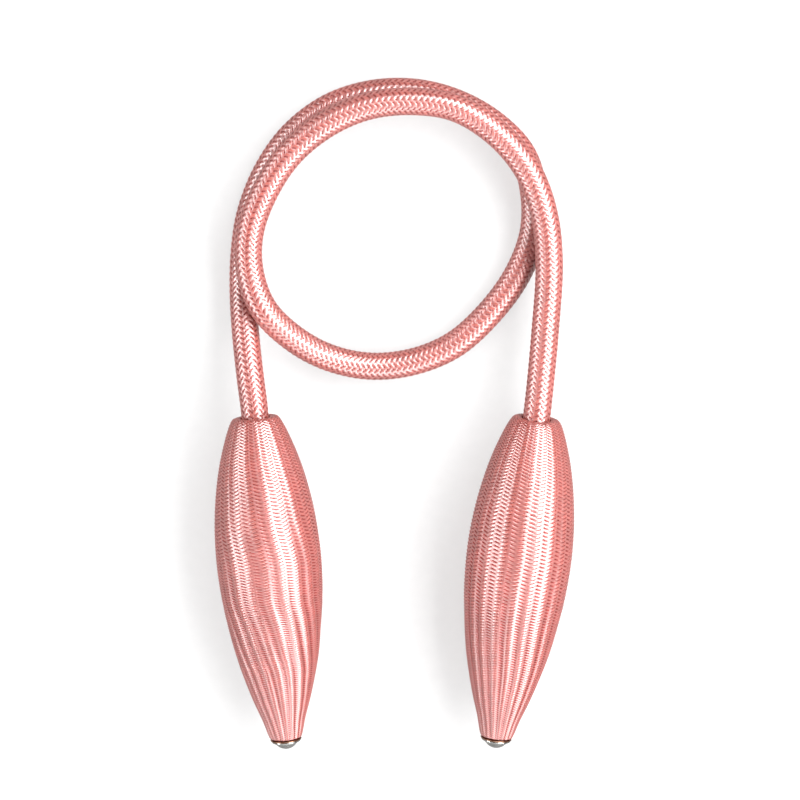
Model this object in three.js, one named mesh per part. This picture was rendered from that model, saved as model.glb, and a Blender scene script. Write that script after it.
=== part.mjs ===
// Curtain tieback: a bendable braided rope, one spindle bulb at each end and a domed metal stud on each tip.
// Millimetres. It lies on its back on the plane z = 0, with +Y from the bulbs towards the rope's loop.
// The origin is on that plane, midway between the two bulbs and at the middle of their length.

import * as THREE from 'three';

const ROPE_RADIUS = 4.2;
const ROPE_SIDES = 12;
const ROPE_STEPS = 80;

// Lowest height of the bulb's axis: the belly is 0.4 mm flat where it rests.
const BELLY_RADIUS = 15.9;
const BELLY_FLAT = 0.4;
const AXIS_HEIGHT = BELLY_RADIUS - BELLY_FLAT;

const RIBS = 22;
const POINTS_PER_RIB = 3;

const GAP = 0.3;
const STRAIGHT_EXIT = 3;
const STUD_SEGMENTS = 32;

const UP = new THREE.Vector3(0, 0, 1);

// The end of each bulb that the rope enters, the bulb's lean about +Z in degrees, and where the
// sleeve was pulled round on its core: from kinkStart on, the ribs turn by kinkTurn degrees per mm.
const BULBS = [
  { side: 'left', mouth: [-41.7, 50.5], lean: 5.1, kinkStart: 56, kinkTurn: 0.22 },
  { side: 'right', mouth: [42.6, 50.5], lean: -6.8, kinkStart: 70, kinkTurn: -0.1 },
];

// The sleeve from the rope end to the tip.
const SLEEVE = [
  { along: 0.0, radius: 5.6, groove: 0.0 },
  { along: 0.5, radius: 6.9, groove: 0.1 },
  { along: 1.6, radius: 7.8, groove: 0.15 },
  { along: 4.0, radius: 8.9, groove: 0.2 },
  { along: 7.5, radius: 10.2, groove: 0.2 },
  { along: 12.5, radius: 11.8, groove: 0.2 },
  { along: 18.5, radius: 13.3, groove: 0.25 },
  { along: 25.0, radius: 14.5, groove: 0.3 },
  { along: 31.0, radius: 15.3, groove: 0.35 },
  { along: 37.5, radius: 15.8, groove: 0.4 },
  { along: 43.5, radius: BELLY_RADIUS, groove: 0.4 },
  { along: 49.5, radius: 15.7, groove: 0.45 },
  { along: 56.0, radius: 15.2, groove: 0.5 },
  { along: 62.0, radius: 14.4, groove: 0.6 },
  { along: 68.5, radius: 13.4, groove: 0.7 },
  { along: 74.5, radius: 12.2, groove: 0.75 },
  { along: 81.0, radius: 10.5, groove: 0.75 },
  { along: 87.0, radius: 8.7, groove: 0.65 },
  { along: 93.0, radius: 6.6, groove: 0.45 },
  { along: 97.5, radius: 5.3, groove: 0.25 },
  { along: 98.8, radius: 4.7, groove: 0.15 },
];
const SLEEVE_LENGTH = SLEEVE[SLEEVE.length - 1].along;

// The stud beyond the sleeve's tip: a dished seat with a shallow dome on it.
const STUD = [
  { along: GAP, radius: 0 },
  { along: GAP, radius: 4.0 },
  { along: 0.6, radius: 4.4 },
  { along: 1.0, radius: 4.35 },
  { along: 1.7, radius: 3.2 },
  { along: 2.0, radius: 2.8 },
  { along: 2.6, radius: 2.3 },
  { along: 3.1, radius: 1.4 },
  { along: 3.35, radius: 0 },
];

// Where the middle of the rope runs between the two bulbs: up from the left one, over the top,
// once round the loop on the surface, then over itself and down to the right one.
const ROPE_ROUTE = [
  [-43.3, 63.7, 14.0],
  [-44.7, 75.4, 9.3],
  [-45.5, 87.6, 5.3],
  [-45.2, 98.4, 4.2],
  [-43.3, 110.4, 4.2],
  [-38.3, 123.0, 4.2],
  [-30.3, 134.2, 4.2],
  [-19.5, 142.3, 4.2],
  [-7.0, 146.4, 4.2],
  [6.2, 146.8, 4.2],
  [19.0, 143.5, 4.2],
  [30.1, 137.1, 4.2],
  [38.5, 128.1, 4.2],
  [41.9, 116.4, 4.2],
  [41.7, 104.7, 4.2],
  [37.1, 92.3, 4.2],
  [28.8, 80.7, 4.2],
  [18.0, 70.9, 4.2],
  [5.6, 65.7, 4.2],
  [-7.4, 64.4, 4.6],
  [-20.0, 67.4, 6.8],
  [-30.7, 73.9, 10.5],
  [-39.1, 83.0, 13.8],
  [-43.0, 93.9, 14.1],
  [-43.0, 105.2, 13.4],
  [-39.0, 116.8, 13.0],
  [-31.3, 128.7, 13.0],
  [-20.5, 137.7, 13.0],
  [-7.8, 143.2, 13.0],
  [5.6, 144.6, 13.0],
  [18.6, 142.5, 13.0],
  [30.5, 135.1, 13.0],
  [39.6, 124.3, 13.0],
  [44.6, 111.2, 13.0],
  [46.2, 96.8, 13.0],
  [45.0, 75.0, 13.9],
];

// A smooth curve that stays on the surface and whose sections keep one side level.
class RestingCurve extends THREE.CatmullRomCurve3 {
  getPoint(t, target) {
    const point = super.getPoint(t, target);
    point.z = Math.max(point.z, ROPE_RADIUS);
    return point;
  }

  computeFrenetFrames(steps) {
    const tangents = [];
    const normals = [];
    const binormals = [];
    for (let i = 0; i <= steps; i += 1) {
      const tangent = this.getTangentAt(i / steps);
      const side = new THREE.Vector3().crossVectors(UP, tangent).normalize();
      tangents.push(tangent);
      normals.push(side);
      binormals.push(new THREE.Vector3().crossVectors(tangent, side));
    }
    return { tangents, normals, binormals };
  }
}

// A point on the bulb's axis, so far out of its mouth on the rope's side.
function pointOnAxis(bulb, distance) {
  const lean = THREE.MathUtils.degToRad(bulb.lean);
  return new THREE.Vector3(
    bulb.mouth[0] - Math.sin(lean) * distance,
    bulb.mouth[1] + Math.cos(lean) * distance,
    AXIS_HEIGHT,
  );
}

function buildRope() {
  const [left, right] = BULBS;
  const path = new RestingCurve([
    pointOnAxis(left, GAP),
    pointOnAxis(left, STRAIGHT_EXIT),
    ...ROPE_ROUTE.map(([x, y, z]) => new THREE.Vector3(x, y, z)),
    pointOnAxis(right, STRAIGHT_EXIT),
    pointOnAxis(right, GAP),
  ]);
  const step = (2 * Math.PI) / ROPE_SIDES;
  const corner = ROPE_RADIUS / Math.cos(step / 2);
  const section = new THREE.Shape();
  for (let i = 0; i < ROPE_SIDES; i += 1) {
    const angle = (i + 0.5) * step;
    const x = corner * Math.cos(angle);
    const y = corner * Math.sin(angle);
    if (i === 0) {
      section.moveTo(x, y);
    } else {
      section.lineTo(x, y);
    }
  }
  section.closePath();
  return new THREE.ExtrudeGeometry(section, { steps: ROPE_STEPS, extrudePath: path });
}

// The ribbed sleeve with its core, along -Y from the mouth. Every rib has two crest points and
// one groove point, and a pair of crests straddles the line that rests on the surface.
function buildSleeve(bulb) {
  const around = RIBS * POINTS_PER_RIB;
  const positions = [];
  const faces = [];
  for (const { along, radius, groove } of SLEEVE) {
    const turn = THREE.MathUtils.degToRad(Math.max(0, along - bulb.kinkStart) * bulb.kinkTurn);
    for (let i = 0; i < around; i += 1) {
      const angle = Math.PI + ((i + 0.5) / around) * 2 * Math.PI;
      const isGroove = i % POINTS_PER_RIB === 1;
      const reach = isGroove ? radius - groove : radius;
      const height = Math.max(reach * Math.cos(angle + turn), -AXIS_HEIGHT);
      positions.push(reach * Math.sin(angle + turn), -along, height);
    }
  }
  for (let row = 0; row < SLEEVE.length - 1; row += 1) {
    for (let i = 0; i < around; i += 1) {
      const a = row * around + i;
      const b = row * around + ((i + 1) % around);
      const c = a + around;
      const d = b + around;
      faces.push(a, c, b, b, c, d);
    }
  }
  const mouthCentre = positions.length / 3;
  positions.push(0, 0, 0, 0, -SLEEVE_LENGTH, 0);
  const tipCentre = mouthCentre + 1;
  const lastRow = (SLEEVE.length - 1) * around;
  for (let i = 0; i < around; i += 1) {
    const next = (i + 1) % around;
    faces.push(mouthCentre, i, next);
    faces.push(tipCentre, lastRow + next, lastRow + i);
  }
  const geometry = new THREE.BufferGeometry();
  geometry.setAttribute('position', new THREE.Float32BufferAttribute(positions, 3));
  geometry.setIndex(faces);
  geometry.computeVertexNormals();
  return geometry;
}

function buildStud() {
  const profile = STUD.map(({ along, radius }) => new THREE.Vector2(radius, -along));
  return new THREE.LatheGeometry(profile.reverse(), STUD_SEGMENTS);
}

function satin() {
  return new THREE.MeshStandardMaterial({ color: 0xe8a097, roughness: 0.45, metalness: 0 });
}

function metal() {
  return new THREE.MeshStandardMaterial({ color: 0xc4c4be, roughness: 0.2, metalness: 1 });
}

function namedMesh(name, geometry, material) {
  const mesh = new THREE.Mesh(geometry, material);
  mesh.name = name;
  return mesh;
}

const tieback = new THREE.Group();
tieback.add(namedMesh('rope', buildRope(), satin()));
for (const bulb of BULBS) {
  const end = new THREE.Group();
  end.position.set(bulb.mouth[0], bulb.mouth[1], AXIS_HEIGHT);
  end.rotation.z = THREE.MathUtils.degToRad(bulb.lean);
  end.add(namedMesh(`bulb_${bulb.side}`, buildSleeve(bulb), satin()));
  const stud = namedMesh(`stud_${bulb.side}`, buildStud(), metal());
  stud.position.y = -SLEEVE_LENGTH;
  end.add(stud);
  tieback.add(end);
}

export default tieback;
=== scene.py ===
import math

import bpy
import numpy as np
from mathutils import Matrix, Vector


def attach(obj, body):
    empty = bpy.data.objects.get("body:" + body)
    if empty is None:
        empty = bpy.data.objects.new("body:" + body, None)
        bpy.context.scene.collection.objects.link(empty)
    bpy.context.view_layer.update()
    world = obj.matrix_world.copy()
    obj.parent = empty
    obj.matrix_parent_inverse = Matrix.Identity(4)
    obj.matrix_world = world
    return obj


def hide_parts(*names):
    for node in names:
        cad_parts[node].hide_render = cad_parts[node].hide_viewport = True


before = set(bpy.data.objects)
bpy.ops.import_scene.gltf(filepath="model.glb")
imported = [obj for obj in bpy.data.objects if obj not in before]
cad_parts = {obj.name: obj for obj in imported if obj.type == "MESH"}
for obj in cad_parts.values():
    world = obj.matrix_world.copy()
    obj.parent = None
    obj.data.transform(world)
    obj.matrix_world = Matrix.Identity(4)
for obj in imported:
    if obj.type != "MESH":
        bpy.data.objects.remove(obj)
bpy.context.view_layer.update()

# A curtain tieback of satin yarn, in metres. Each woven surface is one closed grid of points: a row is a
# ring around the piece, and a column runs along it, with two of each to a step from yarn to yarn. The
# relief of a two-over-two braid is worked into the points.
MM = 0.001
UP = np.array([0.0, 0.0, 1.0])

# Rope. Half of its yarns turn each way, and each goes round once in the length of a turn.
ROPE_RADIUS = 4.2 * MM
ROPE_CARRIERS = 32
ROPE_TURN = 27.8 * MM

# How far the rope runs into each bulb, and where its straight stretch outside the mouth starts and ends
ROPE_TUCK = 3.4 * MM
END_GAP = 0.3 * MM
STRAIGHT_EXIT = 3 * MM

# How far the stitches wander round the rope, in radians, and how much its thickness varies, as a share
ROPE_WANDER = 0.22
ROPE_UNEVEN = 0.008

# Bulbs. They lie on small flats under their bellies.
BULB_CARRIERS = 80
BELLY_RADIUS = 15.9 * MM
BELLY_FLAT = 0.4 * MM
AXIS_HEIGHT = BELLY_RADIUS - BELLY_FLAT

# How round the yarns are and how far they rise over one another, as shares of their distance
ROPE_RELIEF = (0.15, 0.12)
SLEEVE_RELIEF = (0.20, 0.14)

# The middle of each bulb's mouth, and how far the bulb leans to the side, in degrees
BULBS = {
    "left": {"mouth": (-0.0417, 0.0505), "lean": 5.1},
    "right": {"mouth": (0.0426, 0.0505), "lean": -6.8},
}

# The rope's middle line between the two bulbs
ROPE_ROUTE = [
    (-0.0433, 0.0637, 0.0140),
    (-0.0447, 0.0754, 0.0093),
    (-0.0455, 0.0876, 0.0053),
    (-0.0452, 0.0984, 0.0042),
    (-0.0433, 0.1104, 0.0042),
    (-0.0383, 0.1230, 0.0042),
    (-0.0303, 0.1342, 0.0042),
    (-0.0195, 0.1423, 0.0042),
    (-0.0070, 0.1464, 0.0042),
    (0.0062, 0.1468, 0.0042),
    (0.0190, 0.1435, 0.0042),
    (0.0301, 0.1371, 0.0042),
    (0.0385, 0.1281, 0.0042),
    (0.0419, 0.1164, 0.0042),
    (0.0417, 0.1047, 0.0042),
    (0.0371, 0.0923, 0.0042),
    (0.0288, 0.0807, 0.0042),
    (0.0180, 0.0709, 0.0042),
    (0.0056, 0.0657, 0.0042),
    (-0.0074, 0.0644, 0.0046),
    (-0.0200, 0.0674, 0.0068),
    (-0.0307, 0.0739, 0.0105),
    (-0.0391, 0.0830, 0.0138),
    (-0.0430, 0.0939, 0.0141),
    (-0.0430, 0.1052, 0.0134),
    (-0.0390, 0.1168, 0.0130),
    (-0.0313, 0.1287, 0.0130),
    (-0.0205, 0.1377, 0.0130),
    (-0.0078, 0.1432, 0.0130),
    (0.0056, 0.1446, 0.0130),
    (0.0186, 0.1425, 0.0130),
    (0.0305, 0.1351, 0.0130),
    (0.0396, 0.1243, 0.0130),
    (0.0446, 0.1112, 0.0130),
    (0.0462, 0.0968, 0.0130),
    (0.0450, 0.0750, 0.0139),
]

# The sleeve's outline from the hidden lip around the rope to the edge under the stud, in millimetres
SLEEVE = [
    # along, radius, groove
    (3.6, 4.22, 0.0),
    (0.6, 4.22, 0.0),
    (0.25, 4.35, 0.0),
    (0.05, 5.0, 0.03),
    (0.0, 6.0, 0.05),
    (0.3, 6.9, 0.08),
    (1.2, 7.6, 0.1),
    (4.0, 8.9, 0.1),
    (7.5, 10.2, 0.1),
    (12.5, 11.8, 0.1),
    (18.5, 13.3, 0.12),
    (25.0, 14.5, 0.14),
    (31.0, 15.3, 0.17),
    (37.5, 15.8, 0.2),
    (43.5, 15.9, 0.25),
    (49.5, 15.7, 0.3),
    (56.0, 15.2, 0.36),
    (62.0, 14.4, 0.42),
    (68.5, 13.4, 0.46),
    (74.5, 12.2, 0.46),
    (81.0, 10.5, 0.43),
    (87.0, 8.7, 0.4),
    (93.0, 6.6, 0.34),
    (97.5, 5.3, 0.3),
    (98.6, 4.8, 0.2),
    (98.85, 4.1, 0.1),
]

# The distance between one stitch and the next in the same column, at each distance from the mouth, both
# in millimetres
PICK = {
    "left": [
        (7, 0.96), (12, 0.94), (21, 1.12), (31, 1.15), (36, 1.1),
        (45, 0.91), (50, 0.82), (60, 0.74), (70, 0.69), (93, 0.69),
    ],
    "right": [
        (7, 0.92), (12, 0.9), (21, 1.13), (27, 1.19), (40, 1.17),
        (50, 1.13), (60, 0.9), (65, 0.81), (84, 0.8), (93, 0.72),
    ],
}

# How far the columns of stitches have turned about the bulb, in degrees, at each distance from the
# mouth in millimetres, smoothed over a number of rows. The left sleeve was pulled round below its belly.
COLUMN_TURN = {
    "left": [(0, 0), (25, 6), (31, 8), (43, 16), (55, 17), (76, 37), (99, 45)],
    "right": [(0, 0), (30, -2), (60, -4), (99, 3)],
}
COLUMN_SMOOTHING = 25

# How far the columns sway along the bulb and stand off their even places round it, in degrees, and the
# seeds of each sleeve's sway and of its ribs' fullness
COLUMN_SWAY = 0.9
COLUMN_UNEVEN = 0.5
SEEDS = {"left": (11, 17), "right": (12, 19)}

# How far the mouth's rim is set back at the front, where the rope lies in a small hollow, and how soon
# that fades along the bulb
MOUTH_DIP = {"left": 0.0 * MM, "right": 0.8 * MM}
MOUTH_FADE = 1.8 * MM

# A faint crease around the left sleeve: its distance from the mouth and its depth, and its half width,
# in millimetres
CREASE = {"left": (56.5, 0.06), "right": (70.0, 0.0)}
CREASE_WIDTH = 1.3

# Ribs: how narrow the grooves between them are, how much their fullness varies, how much painted shade
# the deepest groove lays on the yarns in it, and the groove that counts as deepest
GROOVE_SHARPNESS = 1.5
RIB_UNEVEN = 0.25
RIB_SHADE = 0.42
DEEPEST_GROOVE = 0.8 * MM

# Below the belly the relief grows: two distances from the mouth, in millimetres, and its scale at each
SWELL_AT = [45, 62]
SWELL = [1.0, 1.4]

# Painted shade where the sleeve closes in on the rope or the stud: in full at this radius, none at this
# width further out, both in millimetres, and down to this share
LIP_RADIUS = 4.1
LIP_WIDTH = 0.5
LIP_SHADE = 0.2

# The stud from the sleeve's edge to its top, in millimetres, and how much of its rim colour each ring has
SLEEVE_LENGTH = 98.9
STUD_COLUMNS = 72
STUD = [
    # along, radius, rim
    (0.10, 0.6, 1.0),
    (0.10, 4.3, 1.0),
    (0.14, 4.62, 1.0),
    (0.30, 4.76, 1.0),
    (0.48, 4.66, 1.0),
    (0.56, 4.40, 0.8),
    (0.70, 4.42, 0.2),
    (0.95, 4.38, 0.0),
    (1.10, 4.15, 0.0),
    (1.30, 3.75, 0.0),
    (1.70, 3.25, 0.0),
    (2.10, 2.85, 0.0),
    (2.60, 2.25, 0.0),
    (3.05, 1.40, 0.0),
    (3.30, 0.50, 0.0),
]


def smooth_line(points, per_span):
    """Points on a smooth curve through the given ones, which may have any number of columns."""
    points = np.asarray(points, float)
    first = 2 * points[0] - points[1]
    last = 2 * points[-1] - points[-2]
    padded = np.vstack([first, points, last])
    t = (np.arange(per_span) / per_span)[:, None]
    spans = []
    for a, b, c, d in zip(padded, padded[1:], padded[2:], padded[3:]):
        before, here, after = (math.sqrt(np.linalg.norm(v)) for v in (b - a, c - b, d - c))
        leave = ((b - a) / before - (c - a) / (before + here) + (c - b) / here) * here
        arrive = ((c - b) / here - (d - b) / (here + after) + (d - c) / after) * here
        spans.append(
            b * (2 * t**3 - 3 * t**2 + 1)
            + leave * (t**3 - 2 * t**2 + t)
            + c * (3 * t**2 - 2 * t**3)
            + arrive * (t**3 - t**2)
        )
    spans.append(points[-1:])
    return np.vstack(spans)


def travelled(line):
    """The distance from the start of a line to each of its points."""
    steps = np.linalg.norm(np.diff(line, axis=0), axis=1)
    return np.concatenate([[0.0], np.cumsum(steps)])


def at_distances(line, distances):
    """The points of a line at the given distances along it."""
    along = travelled(line)
    return np.stack([np.interp(distances, along, column) for column in line.T], axis=1)


def unit(vectors):
    return vectors / np.linalg.norm(vectors, axis=1, keepdims=True)


def off_nearest_even(x):
    """How far x is from the nearest even number, from -1 to 1."""
    return (x + 1) % 2 - 1


def crown(across):
    """The height of a yarn's flat-topped section, 1 in its middle and 0 at its edges."""
    return 1 - np.abs(across) ** 3.0


def braid(around, along, relief):
    """Heights of the two families of yarn of a braid, in shares of the yarns' distance.

    One family runs along around - along = an even number and the other family along around + along
    = an even number. Each yarn goes over two of the others and then under two.
    """
    off_a = off_nearest_even(around - along)
    off_b = off_nearest_even(around + along)
    height_a = relief[0] * crown(off_a) + relief[1] * np.cos(math.pi / 2 * (around - off_a - 0.5))
    height_b = relief[0] * crown(off_b) + relief[1] * np.cos(math.pi / 2 * (around - off_b - 2.5))
    return height_a, height_b


def drift(x, seed, *scales):
    """A smooth wander of x, from about -1 to 1, the same at each run."""
    phases = np.random.default_rng(seed).uniform(0, 2 * math.pi, len(scales))
    return sum(np.sin(x / s + p) for s, p in zip(scales, phases)) / len(scales)


def tube_points(rings, height_scale, around, along, relief):
    """The relief worked into a grid of points.

    rings gives for each row its points and their outward directions, and height_scale the distance
    between neighbouring yarns there. Also returns the depth of each point: 1 on top of a yarn and
    about 0 in the gaps between yarns.
    """
    points, outward = rings
    height_a, height_b = braid(around[None, :], along[:, None], relief)
    top = sum(relief)
    sunk = top - np.maximum(height_a, height_b)
    moved = points - outward * (sunk * height_scale)[..., None]
    moved[..., 2] = np.maximum(moved[..., 2], 0.0)
    depth = 1 - sunk / (relief[0] + 1.6 * relief[1])
    return moved, depth


def woven_mesh(name, points, depth, around, along, unit_around, unit_along, strips):
    """A closed mesh over a grid whose rows go round, with caps at its two ends.

    around and along count yarns, and unit_around and unit_along are the lengths of one such step at
    each row. Each small face belongs to the yarn on top there. The map "yarn" runs across that yarn in
    U and along it in V, in millimetres, and "OFBake" lays the whole surface out flat in strips.
    """
    rows, columns = depth.shape
    count = rows * columns
    row, column = np.meshgrid(np.arange(rows - 1), np.arange(columns), indexing="ij")
    row, column = row.ravel(), column.ravel()

    # The family on top is judged by the rope's relief on the sleeves too
    middle_around = around[column] + 0.25
    middle_along = (along[row] + along[row + 1]) / 2
    height_a, height_b = braid(middle_around, middle_along, ROPE_RELIEF)
    is_a = height_a >= height_b

    # The corners of each square, as steps in (row, column), cut along the yarn it belongs to
    cut_a = [(0, 0), (0, 1), (1, 1), (0, 0), (1, 1), (1, 0)]
    cut_b = [(0, 0), (0, 1), (1, 0), (0, 1), (1, 1), (1, 0)]
    step = np.where(is_a[:, None, None], np.array(cut_a)[None], np.array(cut_b)[None])
    corner_row = row[:, None] + step[..., 0]
    corner_column = column[:, None] + step[..., 1]
    vertices = corner_row * columns + corner_column % columns

    # Across and along the yarn
    corner_around = around[0] + corner_column * 0.5
    corner_along = along[corner_row]
    sign = np.where(is_a, 1.0, -1.0)
    centre = np.round((middle_around - sign * middle_along) / 2) * 2
    wide = unit_around[row]
    high = unit_along[row]
    spacing = wide * high / np.hypot(wide, high)
    stride = np.hypot(wide, high) / 2
    across = (corner_around - sign[:, None] * corner_along - centre[:, None]) * spacing[:, None]
    length = (corner_around * sign[:, None] + corner_along) * stride[:, None] * sign[:, None]
    across, length = across / MM, length / MM

    # One number for each yarn, so that no two take the light quite alike
    carriers = len(around) // 4
    index = (centre / 2).astype(int) % carriers + np.where(is_a, 0, carriers)
    strand = np.random.default_rng(7).uniform(0, 1, 2 * carriers)[index]

    # Flat layout: the rows cut into strips side by side
    per_strip = -(-(rows - 1) // strips)
    strip = row // per_strip
    margin = 0.03
    flat_u = (strip[:, None] + margin + (1 - 2 * margin) * (corner_column / columns)) / strips
    flat_v = 0.02 + 0.94 * (corner_row - (strip * per_strip)[:, None]) / per_strip

    # Caps, each a fan about the middle of its end row
    caps = [(0, count, -1), (rows - 1, count + 1, 1)]
    centres = np.array([points[0].mean(axis=0), points[-1].mean(axis=0)])
    triangles = vertices.reshape(-1, 3)
    uv_yarn = np.stack([across, length], axis=-1).reshape(-1, 2)
    uv_flat = np.stack([flat_u, flat_v], axis=-1).reshape(-1, 2)
    strands = np.repeat(strand, 6)
    turn = np.arange(columns)
    for end_row, tip, side in caps:
        here = end_row * columns + turn
        there = end_row * columns + (turn + 1) % columns
        fan = np.stack([here, there, np.full(columns, tip)], axis=1)
        triangles = np.vstack([triangles, fan[:, ::-1] if side < 0 else fan])
        edge = 0.975 if side > 0 else 0.985
        u = np.stack([turn, turn + 1, turn + 0.5], axis=1) / columns * 0.4 + (0.5 if side > 0 else 0.05)
        v = np.tile([edge, edge, edge + 0.008], (columns, 1))
        pair = np.stack([u, v], axis=-1)
        pair = pair[:, ::-1] if side < 0 else pair
        uv_flat = np.vstack([uv_flat, pair.reshape(-1, 2)])
        uv_yarn = np.vstack([uv_yarn, pair.reshape(-1, 2)])
        strands = np.concatenate([strands, np.full(3 * columns, 0.5)])

    mesh = bpy.data.meshes.new(name)
    all_points = np.vstack([points.reshape(-1, 3), centres])
    mesh.vertices.add(len(all_points))
    mesh.vertices.foreach_set("co", all_points.ravel())
    mesh.loops.add(3 * len(triangles))
    mesh.loops.foreach_set("vertex_index", triangles.ravel().astype(np.int32))
    mesh.polygons.add(len(triangles))
    mesh.polygons.foreach_set("loop_start", np.arange(0, 3 * len(triangles), 3, dtype=np.int32))
    mesh.polygons.foreach_set("use_smooth", np.ones(len(triangles), bool))
    mesh.update()
    for layer, values in (("yarn", uv_yarn), ("OFBake", uv_flat)):
        mesh.uv_layers.new(name=layer).data.foreach_set("uv", values.ravel())
    # The depth, which the satin turns into painted shade in the gaps between yarns
    full_depth = np.concatenate([depth.ravel(), [0.0, 0.0]])
    mesh.attributes.new("depth", "FLOAT", "POINT").data.foreach_set("value", full_depth)
    mesh.attributes.new("strand", "FLOAT", "CORNER").data.foreach_set("value", strands)
    mesh.validate()
    piece = bpy.data.objects.new(name, mesh)
    bpy.context.scene.collection.objects.link(piece)
    return piece


# Making the rope


def on_axis(side, distance):
    """A point on a bulb's axis, the given distance from its mouth on the rope's side."""
    x, y = BULBS[side]["mouth"]
    lean = math.radians(BULBS[side]["lean"])
    return (x - math.sin(lean) * distance, y + math.cos(lean) * distance, AXIS_HEIGHT)


def make_rope():
    """The braided rope, and its middle line."""
    ends = [END_GAP, STRAIGHT_EXIT]
    shown = [on_axis("left", d) for d in ends] + ROPE_ROUTE + [on_axis("right", d) for d in ends[::-1]]
    line = smooth_line([on_axis("left", -ROPE_TUCK), *shown, on_axis("right", -ROPE_TUCK)], per_span=60)
    line[:, 2] = np.maximum(line[:, 2], ROPE_RADIUS)
    unit_along = ROPE_TURN / ROPE_CARRIERS
    total = travelled(line)[-1]
    rows = int(total / unit_along * 2) + 1
    distances = np.linspace(0, total, rows)
    centre = at_distances(line, distances)
    along = distances / unit_along
    tangent = unit(np.gradient(centre, axis=0))
    side = unit(np.cross(UP, tangent))
    lift = np.cross(tangent, side)

    around = np.arange(2 * ROPE_CARRIERS) / 2
    wander = ROPE_WANDER * drift(distances, 3, 0.021, 0.034, 0.057)
    angle = 2 * math.pi * around[None, :] / ROPE_CARRIERS + wander[:, None]
    outward = np.cos(angle)[..., None] * side[:, None] + np.sin(angle)[..., None] * lift[:, None]
    uneven = ROPE_UNEVEN * drift(distances, 5, 0.004, 0.009, 0.017)
    thickness = ROPE_RADIUS * (1 + uneven - ROPE_UNEVEN)
    base = centre[:, None] + outward * thickness[:, None, None]
    unit_around = 2 * math.pi * ROPE_RADIUS / ROPE_CARRIERS
    spacing = 2 * unit_around * unit_along / math.hypot(unit_around, unit_along)
    points, depth = tube_points((base, outward), np.full((rows, 1), spacing), around, along, ROPE_RELIEF)
    piece = woven_mesh(
        "rope_braid",
        points,
        depth,
        around,
        along,
        np.full(rows, unit_around),
        np.full(rows, unit_along),
        strips=18,
    )
    return piece, centre


# Making the sleeves


def make_sleeve(side):
    """The ribbed sleeve of one bulb, from its lip around the rope to its edge under the stud."""
    profile = smooth_line(SLEEVE, per_span=40)
    along_axis, radius, groove = profile.T
    pick = np.interp(along_axis, *np.array(PICK[side]).T)
    path = travelled(profile[:, :2])
    count = np.concatenate([[0], np.cumsum(np.diff(path) / ((pick[1:] + pick[:-1]) / 4))])
    rows = int(count[-1] * 2) + 1
    along = np.linspace(0, count[-1], rows)
    measures = (along_axis, radius, groove, pick)
    along_axis, radius, groove, pick = (np.interp(along, count, values) * MM for values in measures)
    slope = unit(np.stack([np.gradient(along_axis), np.gradient(radius)], axis=1))
    inner = np.argmin(along_axis)
    is_inner = np.arange(rows) < inner

    around = np.arange(2 * BULB_CARRIERS) / 2
    knots, turns = np.array(COLUMN_TURN[side], float).T
    turn = np.interp(along_axis / MM, knots, turns)
    window = np.hanning(COLUMN_SMOOTHING)
    turn = np.pad(turn, COLUMN_SMOOTHING // 2, mode="edge")
    turn = np.convolve(turn, window / window.sum(), "valid")
    sway_seed, rib_seed = SEEDS[side]
    sway = COLUMN_SWAY * drift(along_axis / MM, sway_seed, 3.1, 5.3, 9.7)
    column_shift = COLUMN_UNEVEN * drift(around, 13, 1.9, 4.3, 7.7)
    angle = math.pi - (around[None, :] - 0.5) * 2 * math.pi / BULB_CARRIERS
    angle = angle + np.radians(turn + sway)[:, None] + np.radians(column_shift)[None, :]

    # Ribs, a crest on every other column of stitches, some fuller than others. rib is 1 in a groove.
    rib = (0.5 - 0.5 * np.cos(math.pi / 2 * (around - 0.5))) ** GROOVE_SHARPNESS
    fullness = 1 + RIB_UNEVEN * drift(around, rib_seed, 1.3, 2.9, 6.1)
    depth_here = groove[:, None] * rib[None, :] * fullness[None, :]
    crease_at, crease_depth = CREASE[side]
    crease = crease_depth * MM * np.exp(-(((along_axis / MM - crease_at) / CREASE_WIDTH) ** 2))
    outside = radius[:, None] - depth_here - crease[:, None]
    reach = np.where(is_inner[:, None], radius[:, None], outside)

    # The hollow in the mouth's rim
    front = (0.5 + 0.5 * np.cos(angle)) ** 1.5
    set_back = np.where(is_inner, 1.0, np.exp(-along_axis / MOUTH_FADE)) * MOUTH_DIP[side]
    axial = along_axis[:, None] + set_back[:, None] * front

    local = np.stack([reach * np.sin(angle), -axial, reach * np.cos(angle)], axis=-1)
    local[..., 2] = np.maximum(local[..., 2], -AXIS_HEIGHT)
    outward = np.stack(
        [
            slope[:, :1] * np.sin(angle),
            np.broadcast_to(slope[:, 1:], angle.shape),
            slope[:, :1] * np.cos(angle),
        ],
        axis=-1,
    )
    lean = math.radians(BULBS[side]["lean"])
    turned = np.array(Matrix.Rotation(lean, 3, "Z"))
    mouth = np.array([*BULBS[side]["mouth"], AXIS_HEIGHT])
    base = local @ turned.T + mouth
    outward = outward @ turned.T

    unit_around = 2 * math.pi * radius / BULB_CARRIERS
    unit_along = pick / 2
    spacing = 2 * unit_around * unit_along / np.hypot(unit_around, unit_along)
    swell = np.interp(along_axis / MM, SWELL_AT, SWELL)
    points, depth = tube_points((base, outward), (spacing * swell)[:, None], around, along, SLEEVE_RELIEF)
    # Painted shade: the depth that colours the yarns is lowered in the deepest grooves and where the
    # sleeve closes in on the rope or the stud
    depth = depth * (1 - RIB_SHADE * rib[None, :] * np.clip(groove / DEEPEST_GROOVE, 0, 1)[:, None])
    depth = depth * np.clip((radius / MM - LIP_RADIUS) / LIP_WIDTH, LIP_SHADE, 1)[:, None]
    return woven_mesh(
        f"sleeve_{side}",
        points,
        depth,
        around,
        along,
        unit_around,
        unit_along,
        strips=1,
    )


# Making the studs


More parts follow.
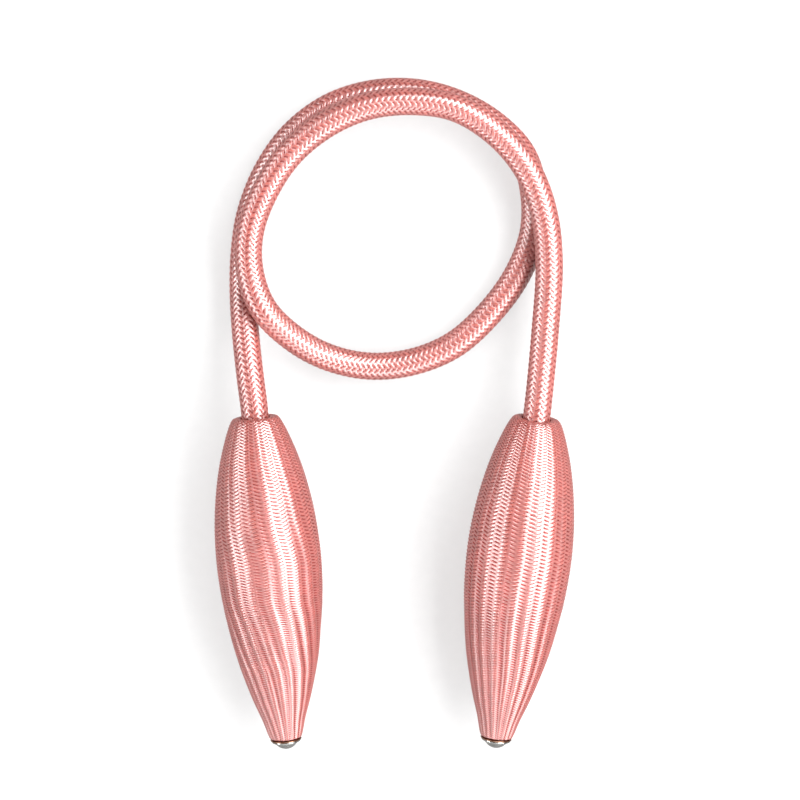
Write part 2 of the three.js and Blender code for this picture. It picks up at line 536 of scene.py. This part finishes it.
def make_stud(side):
    """A thin bronze rim under the sleeve's edge, a dished seat and a shallow dome."""
    profile = smooth_line(STUD, per_span=4)
    rows = len(profile)
    turn = np.arange(STUD_COLUMNS) / STUD_COLUMNS * 2 * math.pi
    along, radius, rim = profile.T
    ring = np.stack(
        [
            radius[:, None] * np.sin(turn),
            np.broadcast_to(-(SLEEVE_LENGTH + along)[:, None], (rows, STUD_COLUMNS)),
            radius[:, None] * np.cos(turn),
        ],
        axis=-1,
    )
    points = np.vstack([ring.reshape(-1, 3), [(0, -SLEEVE_LENGTH - along[i], 0) for i in (0, -1)]]) * MM
    lean = math.radians(BULBS[side]["lean"])
    points = points @ np.array(Matrix.Rotation(lean, 3, "Z")).T + [*BULBS[side]["mouth"], AXIS_HEIGHT]
    faces = []
    flat = []
    for row in range(rows - 1):
        for column in range(STUD_COLUMNS):
            step = (column + 1) % STUD_COLUMNS
            here = row * STUD_COLUMNS
            below = here + STUD_COLUMNS
            faces.append((here + column, here + step, below + step, below + column))
            u = [(column + k) / STUD_COLUMNS for k in (0, 1, 1, 0)]
            v = [0.05 + 0.85 * (row + k) / rows for k in (0, 0, 1, 1)]
            flat += zip(u, v)
    for tip, here, v in ((0, 0, 0.02), (1, (rows - 1) * STUD_COLUMNS, 0.95)):
        for column in range(STUD_COLUMNS):
            step = (column + 1) % STUD_COLUMNS
            fan = (here + column, rows * STUD_COLUMNS + tip, here + step)
            u = [(column + k) / STUD_COLUMNS for k in (0, 0.5, 1)]
            corners = list(zip(u, (v, v + 0.02, v)))
            faces.append(fan if tip == 0 else fan[::-1])
            flat += corners if tip == 0 else corners[::-1]
    mesh = bpy.data.meshes.new(f"stud_dome_{side}")
    mesh.from_pydata(points.tolist(), [], faces)
    mesh.polygons.foreach_set("use_smooth", np.ones(len(faces), bool))
    mesh.uv_layers.new(name="OFBake").data.foreach_set("uv", np.array(flat).ravel())
    shares = np.concatenate([np.repeat(rim, STUD_COLUMNS), rim[[0, -1]]])
    mesh.attributes.new("rim", "FLOAT", "POINT").data.foreach_set("value", shares)
    stud = bpy.data.objects.new(mesh.name, mesh)
    bpy.context.scene.collection.objects.link(stud)
    return stud


# Materials

# Filaments to the millimetre across and along a yarn, and patches of tone to the metre
FILAMENTS = (9.0, 0.35, 1.0)
PATCHES = 90.0

# The satin's tone is a base, plus shares that go with the yarn, the patch and the filament
TONE_BASE = 0.62
TONE_YARN = 0.26
TONE_PATCH = 0.20
TONE_FILAMENT = 0.30

# The depth over which the painted shade deepens in the gaps, and that over which the gaps turn metallic
# in their dark colour, a painted shade on their gloss too; both below the dive
SHADE_SPAN = 0.34
SHADE_METAL_START = 0.36

# How much rougher the satin is on dull filaments, and at the bottom of the gaps
ROUGH_FILAMENT = 0.08
ROUGH_GAP = 0.6


class Nodes:
    """Short ways to add the nodes of one material."""

    def __init__(self, name):
        self.material = bpy.data.materials.new(name)
        self.material.use_nodes = True
        self.tree = self.material.node_tree
        self.shader = self.tree.nodes["Principled BSDF"]

    def add(self, kind, inputs=(), **settings):
        node = self.tree.nodes.new(f"ShaderNode{kind}")
        for key, value in settings.items():
            setattr(node, key, value)
        for key, value in dict(inputs).items():
            if isinstance(value, bpy.types.NodeSocket):
                self.tree.links.new(value, node.inputs[key])
            else:
                node.inputs[key].default_value = value
        return node

    def math(self, operation, a, b=0.0):
        return self.add("Math", {0: a, 1: b}, operation=operation).outputs[0]

    def attribute(self, name):
        return self.add("Attribute", attribute_name=name).outputs["Fac"]

    def ramp(self, fac, *stops):
        node = self.add("ValToRGB", {"Fac": fac})
        elements = node.color_ramp.elements
        while len(elements) < len(stops):
            elements.new(0.5)
        for element, (position, colour) in zip(elements, stops):
            element.position = position
            element.color = (*colour, 1)
        return node.outputs["Color"]

    def mix(self, blend, fac, a, b):
        inputs = {"Factor": fac, 6: a, 7: b}
        return self.add("Mix", inputs, data_type="RGBA", blend_type=blend).outputs[2]

    def link(self, output, name):
        self.tree.links.new(output, self.shader.inputs[name])


def satin(name, gap_shade, body, light, dive, rough):
    """Glossy yarn of many fine filaments, with painted shade where it dives under its neighbours.

    dive is the depth below which the painted shade sets in, from 0 in the gaps to 1 on top. gap_shade,
    body and light
    are its colours: the painted shade in the gaps, the yarn's own colour at the dive, and the palest
    colour on top, where the painted shade lifts; rough is the roughness that it starts from.
    """
    n = Nodes(name)
    depth = n.attribute("depth")
    strand = n.attribute("strand")
    yarn = n.add("UVMap", uv_map="yarn").outputs["UV"]
    fine = n.add("Mapping", {"Vector": yarn, "Scale": FILAMENTS}).outputs["Vector"]
    noise = {"Vector": fine, "Scale": 1.0, "Detail": 3.0, "Roughness": 0.6}
    filaments = n.add("TexNoise", noise).outputs["Fac"]
    place = n.add("NewGeometry").outputs["Position"]
    broad = n.add("TexNoise", {"Vector": place, "Scale": PATCHES, "Detail": 2.0}).outputs["Fac"]

    # Painted shade: the colour is darkest in the gaps and palest on top of each yarn
    colour = n.ramp(depth, (dive - SHADE_SPAN, gap_shade), (dive, body), (1.0, light))
    # Painted shade: the gaps turn metallic in their dark colour, so their gloss is dimmed to a dark red
    shade_metal = {"Value": depth, "From Min": dive, "From Max": dive - SHADE_METAL_START}
    n.link(n.add("MapRange", shade_metal).outputs["Result"], "Metallic")
    tone = n.math("ADD", n.math("MULTIPLY", strand, TONE_YARN), n.math("MULTIPLY", broad, TONE_PATCH))
    tone = n.math("ADD", tone, n.math("MULTIPLY", filaments, TONE_FILAMENT))
    tone = n.math("ADD", tone, TONE_BASE)
    grey = n.add("CombineColor", {"Red": tone, "Green": tone, "Blue": tone}).outputs["Color"]
    n.link(n.mix("MULTIPLY", 1.0, colour, grey), "Base Color")

    gloss = n.math("ADD", n.math("MULTIPLY", filaments, ROUGH_FILAMENT), rough)
    gloss = n.math("ADD", gloss, n.math("MULTIPLY", n.math("SUBTRACT", 1.0, depth), ROUGH_GAP))
    n.link(gloss, "Roughness")
    n.shader.inputs["Anisotropic"].default_value = 0.5
    n.shader.inputs["IOR"].default_value = 2.1
    n.shader.inputs["Specular IOR Level"].default_value = 1.0
    tangent = n.add("Tangent", direction_type="UV_MAP", uv_map="yarn")
    n.link(tangent.outputs["Tangent"], "Tangent")
    bump = n.add("Bump", {"Height": filaments, "Strength": 0.15, "Distance": 0.00006})
    n.link(bump.outputs["Normal"], "Normal")
    return n.material


def plated(name, silver, bronze):
    """Plated metal with fine turning marks and a few rubs, worn to bronze on the stud's rim."""
    n = Nodes(name)
    rim = n.attribute("rim")
    place = n.add("NewGeometry").outputs["Position"]
    marks = n.add("TexNoise", {"Vector": place, "Scale": 2500.0, "Detail": 4.0}).outputs["Fac"]
    rubs = n.add("TexNoise", {"Vector": place, "Scale": 420.0, "Detail": 5.0}).outputs["Fac"]
    worn = n.math("ADD", rim, n.math("MULTIPLY", rubs, 0.3))
    colour = n.ramp(worn, (0.10, silver), (0.35, silver), (0.75, bronze))
    dull = n.ramp(rubs, (0.25, (0.7, 0.7, 0.7)), (0.6, (1.0, 1.0, 1.0)))
    n.link(n.mix("MULTIPLY", 1.0, colour, dull), "Base Color")
    n.link(n.math("ADD", n.math("MULTIPLY", rubs, 0.22), 0.14), "Roughness")
    n.shader.inputs["Metallic"].default_value = 1.0
    bump = n.add("Bump", {"Height": marks, "Strength": 0.15, "Distance": 0.00003})
    n.link(bump.outputs["Normal"], "Normal")
    return n.material


def dress(piece, material):
    piece.data.materials.clear()
    piece.data.materials.append(material)


# The dressed pieces

# The satin's colours: painted shade in the gaps, the yarn's own colour at the dive, and its palest on top
GAP_SHADE = (0.28, 0.034, 0.0265)
BODY = (0.31, 0.052, 0.0415)
LIGHT = (0.45, 0.112, 0.088)
rope_satin = satin("rope_satin", GAP_SHADE, BODY, LIGHT, dive=0.74, rough=0.22)
sleeve_satin = satin("sleeve_satin", GAP_SHADE, BODY, LIGHT, dive=0.78, rough=0.19)
stud_metal = plated("stud_metal", silver=(0.56, 0.56, 0.54), bronze=(0.34, 0.19, 0.12))

rope, rope_line = make_rope()
dress(rope, rope_satin)
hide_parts("rope")
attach(rope, "root")

for side in BULBS:
    sleeve = make_sleeve(side)
    dress(sleeve, sleeve_satin)
    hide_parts(f"bulb_{side}")
    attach(sleeve, "root")

for side in BULBS:
    stud = make_stud(side)
    dress(stud, stud_metal)
    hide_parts(f"stud_{side}")
    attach(stud, "root")


# Floor, light and camera

# The middle of the view, and how far the camera stands back from straight above, in degrees
MIDDLE = (0.0017, 0.05525, 0.0130)
CAMERA_TILT = 8

FLOOR_REACH = 3.0
FLOOR_HEIGHT = -0.0003
FLOOR_GLOW = 0.58

SOFTBOXES = [
    # name, place, width, height, watts
    ("key", (0.65, 0.15, 0.76), 0.62, 2.2, 38.0),
    ("fill", (-0.88, -0.05, 0.47), 0.32, 1.8, 13.4),
    ("top", (0.20, 0.75, 0.85), 0.50, 0.50, 5.0),
    ("low", (0.15, -0.80, 0.50), 1.4, 0.30, 7.5),
]


def pale_floor():
    """A pale sheet of paper that glows faintly, so that shadows stay light. Reflections leave it out."""
    mesh = bpy.data.meshes.new("floor")
    signs = ((-1, -1), (1, -1), (1, 1), (-1, 1))
    corners = [(x * FLOOR_REACH, y * FLOOR_REACH, FLOOR_HEIGHT) for x, y in signs]
    mesh.from_pydata(corners, [], [(0, 1, 2, 3)])
    floor = bpy.data.objects.new("floor", mesh)
    bpy.context.scene.collection.objects.link(floor)
    floor.visible_glossy = False
    n = Nodes("floor_paper")
    place = n.add("NewGeometry").outputs["Position"]
    grain = n.add("TexNoise", {"Vector": place, "Scale": 300.0, "Detail": 3.0}).outputs["Fac"]
    n.link(n.ramp(grain, (0.3, (0.26, 0.26, 0.26)), (0.7, (0.275, 0.275, 0.275))), "Base Color")
    n.shader.inputs["Emission Color"].default_value = (1.0, 1.0, 1.0, 1)
    n.shader.inputs["Emission Strength"].default_value = FLOOR_GLOW
    n.shader.inputs["Roughness"].default_value = 0.9
    n.shader.inputs["Specular IOR Level"].default_value = 0.1
    dress(floor, n.material)


def softbox(name, place, width, height, power):
    """A rectangular light that faces the middle of the view, its height along the object's length."""
    data = bpy.data.lights.new(name, "AREA")
    data.shape = "RECTANGLE"
    data.size = width
    data.size_y = height
    data.energy = power
    lamp = bpy.data.objects.new(name, data)
    bpy.context.scene.collection.objects.link(lamp)
    lamp.location = place
    away = (Vector(place) - Vector(MIDDLE)).normalized()
    across = Vector((0, 1, 0)).cross(away).normalized()
    lamp.rotation_euler = Matrix((across, away.cross(across), away)).transposed().to_euler()


def sky(above, below):
    """A dark studio, with a grey below the horizon that the yarns mirror in place of the white floor.

    The grey fades out just above the horizon.
    """
    world = bpy.data.worlds.new("studio")
    world.use_nodes = True
    tree = world.node_tree
    background = tree.nodes["Background"]
    background.inputs["Color"].default_value = (1.0, 0.99, 0.98, 1)
    direction = tree.nodes.new("ShaderNodeTexCoord").outputs["Generated"]
    split = tree.nodes.new("ShaderNodeSeparateXYZ")
    tree.links.new(direction, split.inputs[0])
    strength = tree.nodes.new("ShaderNodeMapRange")
    tree.links.new(split.outputs["Z"], strength.inputs["Value"])
    for key, value in {"From Min": -0.15, "From Max": 0.05, "To Min": below, "To Max": above}.items():
        strength.inputs[key].default_value = value
    tree.links.new(strength.outputs["Result"], background.inputs["Strength"])
    bpy.context.scene.world = world


def camera(distance, lens):
    data = bpy.data.cameras.new("camera")
    data.lens = lens
    data.sensor_width = 36
    eye = bpy.data.objects.new("camera", data)
    bpy.context.scene.collection.objects.link(eye)
    tilt = math.radians(CAMERA_TILT)
    away = Vector((0, math.sin(tilt), math.cos(tilt))).normalized()
    eye.location = Vector(MIDDLE) + away * distance
    right = Vector((1, 0, 0))
    turned = Matrix((right, away.cross(right), away)).transposed()
    eye.rotation_euler = turned.to_euler()
    bpy.context.scene.camera = eye


camera(distance=1.0, lens=150)
pale_floor()
sky(above=0.03, below=0.56)
for lamp in SOFTBOXES:
    softbox(*lamp)
bpy.context.scene.view_settings.view_transform = "Standard"
